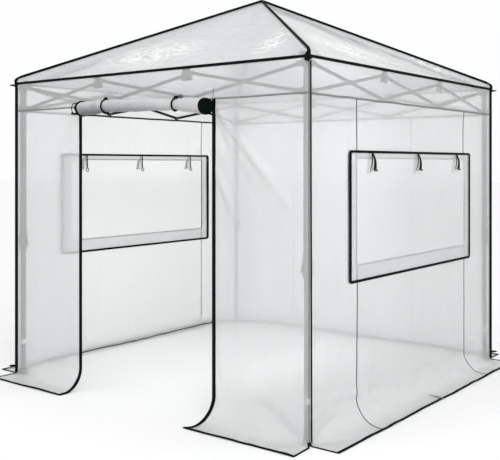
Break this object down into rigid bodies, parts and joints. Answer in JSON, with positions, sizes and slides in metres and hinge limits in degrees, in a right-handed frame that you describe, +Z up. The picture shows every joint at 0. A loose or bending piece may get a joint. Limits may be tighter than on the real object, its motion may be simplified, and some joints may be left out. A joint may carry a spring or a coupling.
{
  "type": "pop-up greenhouse",
  "caption": "Square pop-up greenhouse: a folding steel frame with scissor trusses under a fitted translucent film cover with a rolled-up door, side window flaps and ground skirts.",
  "frame": {"origin": "on the ground at the centre of the plan", "axes": "+Z up; the doorway faces -Y; the two windows are in the +X and -X walls"},
  "size_m": [2.764, 2.764, 2.5957],
  "materials": {
    "film": "woven reinforced translucent film",
    "leg_steel": "satin powder coat",
    "truss_steel": "satin powder coat",
    "bracket_plastic": "moulded",
    "latch_plastic": "moulded",
    "binding_tape": "woven tape",
    "strap_webbing": "webbing with hook and loop"
  },
  "bodies": {
    "root": {"leg_front_right": "leg_steel", "leg_back_right": "leg_steel", "leg_back_left": "leg_steel", "leg_front_left": "leg_steel", "inner_leg_front_right": "leg_steel", "inner_leg_back_right": "leg_steel", "inner_leg_back_left": "leg_steel", "inner_leg_front_left": "leg_steel", "leg_latches": "latch_plastic", "top_brackets": "bracket_plastic", "slider_brackets": "bracket_plastic", "truss_front": "truss_steel", "truss_right": "truss_steel", "truss_back": "truss_steel", "truss_left": "truss_steel", "roof_hub": "bracket_plastic", "roof_rafters": "truss_steel", "roof_front": "film", "roof_right": "film", "roof_back": "film", "roof_left": "film", "valance": "film", "front_panel_right": "film", "front_panel_left": "film", "right_wall": "film", "back_wall": "film", "left_wall": "film", "front_skirt_right": "film", "front_skirt_left": "film", "right_skirt": "film", "back_skirt": "film", "left_skirt": "film", "window_flap_right": "film", "window_flap_left": "film", "door_roll": "film", "door_roll_ties": "binding_tape", "window_ties": "binding_tape", "roof_binding": "binding_tape", "corner_binding": "binding_tape", "doorway_binding": "binding_tape", "flap_binding": "binding_tape", "skirt_binding": "binding_tape", "truss_straps": "strap_webbing", "guy_loops": "binding_tape"}
  },
  "joints": []
}
